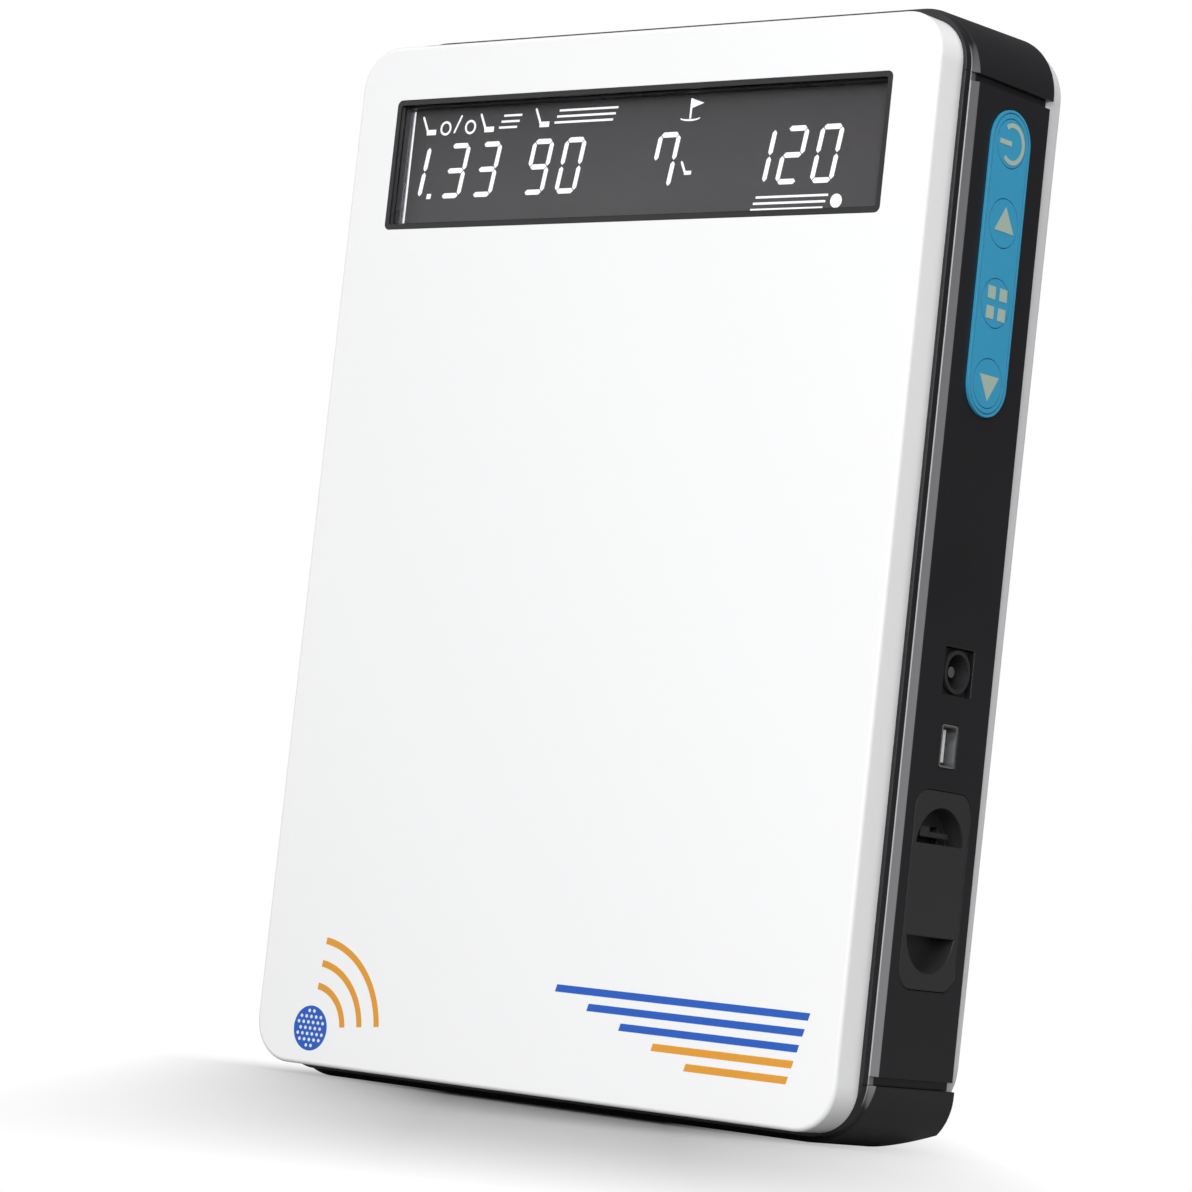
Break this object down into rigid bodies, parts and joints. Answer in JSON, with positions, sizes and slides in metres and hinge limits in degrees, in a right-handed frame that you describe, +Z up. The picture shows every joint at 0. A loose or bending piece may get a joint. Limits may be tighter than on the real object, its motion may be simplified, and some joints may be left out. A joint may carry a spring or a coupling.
{
  "type": "launch monitor",
  "caption": "Slim upright radar launch monitor: white front cover with a display window, black body band with side keys, sockets and a battery drawer, and a folding rear stand.",
  "frame": {"origin": "centre of the flat underside of the body band", "axes": "+X towards the side with the keys, sockets and battery drawer; -Y towards the display; +Z up"},
  "size_m": [0.1437, 0.0383, 0.2036],
  "materials": {
    "white_shell": "glossy injection-moulded white plastic",
    "black_shell": "semi-gloss black plastic with a light bevel",
    "grey_shell": "fine satin light grey plastic",
    "black_plastic": "matt black moulded plastic",
    "window_clear": "thin clear window",
    "lcd_dark": "dark display glass",
    "light_guide": "milky light guide",
    "blue_rubber": "satin blue silicone",
    "white_plastic": "plain white moulded plastic",
    "board_green": "green circuit board with solder mask",
    "chip_black": "moulded chip package",
    "copper": "gold-flashed copper",
    "brass": "turned brass",
    "steel": "plain steel",
    "tin_plate": "tin-plated sheet steel",
    "flex_amber": "amber flexible circuit",
    "ribbon_white": "white ribbon cable",
    "wire_red": "insulated wire",
    "cell_wrap": "printed cell wrapper",
    "foot_rubber": "matt black rubber"
  },
  "bodies": {
    "housing": {"front_cover": "white_shell", "window_bezel": "black_plastic", "window_lens": "window_clear", "top_cap": "black_shell", "bottom_cap": "black_shell", "right_panel": "black_shell", "left_panel": "black_shell", "chassis": "black_plastic", "rear_cover": "grey_shell", "front_screws": "steel", "rear_screws": "steel", "lcd_frame": "tin_plate", "lcd_glass": "lcd_dark", "backlight": "light_guide", "display_board": "board_green", "lcd_flex": "flex_amber", "display_cable": "ribbon_white", "radar_board": "board_green", "antenna_patches": "copper", "radar_shield": "tin_plate", "standoffs": "brass", "board_screws": "steel", "main_board": "board_green", "main_chips": "chip_black", "wireless_module": "tin_plate", "radar_cable": "ribbon_white", "keypad_strip": "blue_rubber", "key_switches": "chip_black", "key_board": "board_green", "power_jack": "black_plastic", "power_jack_pin": "steel", "usb_shell": "tin_plate", "usb_tongue": "white_plastic", "battery_bay": "black_plastic", "bay_contacts": "tin_plate", "battery_leads": "wire_red", "stand_pin": "steel"},
    "power_key_body": {"power_key": "blue_rubber", "power_plunger": "white_plastic"},
    "up_key_body": {"up_key": "blue_rubber", "up_plunger": "white_plastic"},
    "menu_key_body": {"menu_key": "blue_rubber", "menu_plunger": "white_plastic"},
    "down_key_body": {"down_key": "blue_rubber", "down_plunger": "white_plastic"},
    "drawer_body": {"battery_drawer": "black_plastic", "drawer_contact": "tin_plate", "battery_cells": "cell_wrap", "latch_spring": "steel"},
    "latch_body": {"drawer_latch": "black_plastic"},
    "stand_body": {"stand": "grey_shell", "stand_foot": "foot_rubber"}
  },
  "joints": [
    {"name": "power_key_press", "type": "slide", "parent": "housing", "child": "power_key_body", "axis": [-1, 0, 0], "range_m": [0, 0.0005], "stiffness_N_per_m": 3000},
    {"name": "up_key_press", "type": "slide", "parent": "housing", "child": "up_key_body", "axis": [-1, 0, 0], "range_m": [0, 0.0005], "stiffness_N_per_m": 3000},
    {"name": "menu_key_press", "type": "slide", "parent": "housing", "child": "menu_key_body", "axis": [-1, 0, 0], "range_m": [0, 0.0005], "stiffness_N_per_m": 3000},
    {"name": "down_key_press", "type": "slide", "parent": "housing", "child": "down_key_body", "axis": [-1, 0, 0], "range_m": [0, 0.0005], "stiffness_N_per_m": 3000},
    {"name": "drawer_slide", "type": "slide", "parent": "housing", "child": "drawer_body", "axis": [1, 0, 0], "range_m": [0, 0.06]},
    {"name": "latch_press", "type": "slide", "parent": "drawer_body", "child": "latch_body", "axis": [0, 0, -1], "range_m": [0, 0.001], "stiffness_N_per_m": 800, "deforming": ["latch_spring"]},
    {"name": "stand_hinge", "type": "hinge", "parent": "housing", "child": "stand_body", "pos_m": [0, 0.0139, 0.1185], "axis": [1, 0, 0], "range_deg": [0, 55]}
  ]
}
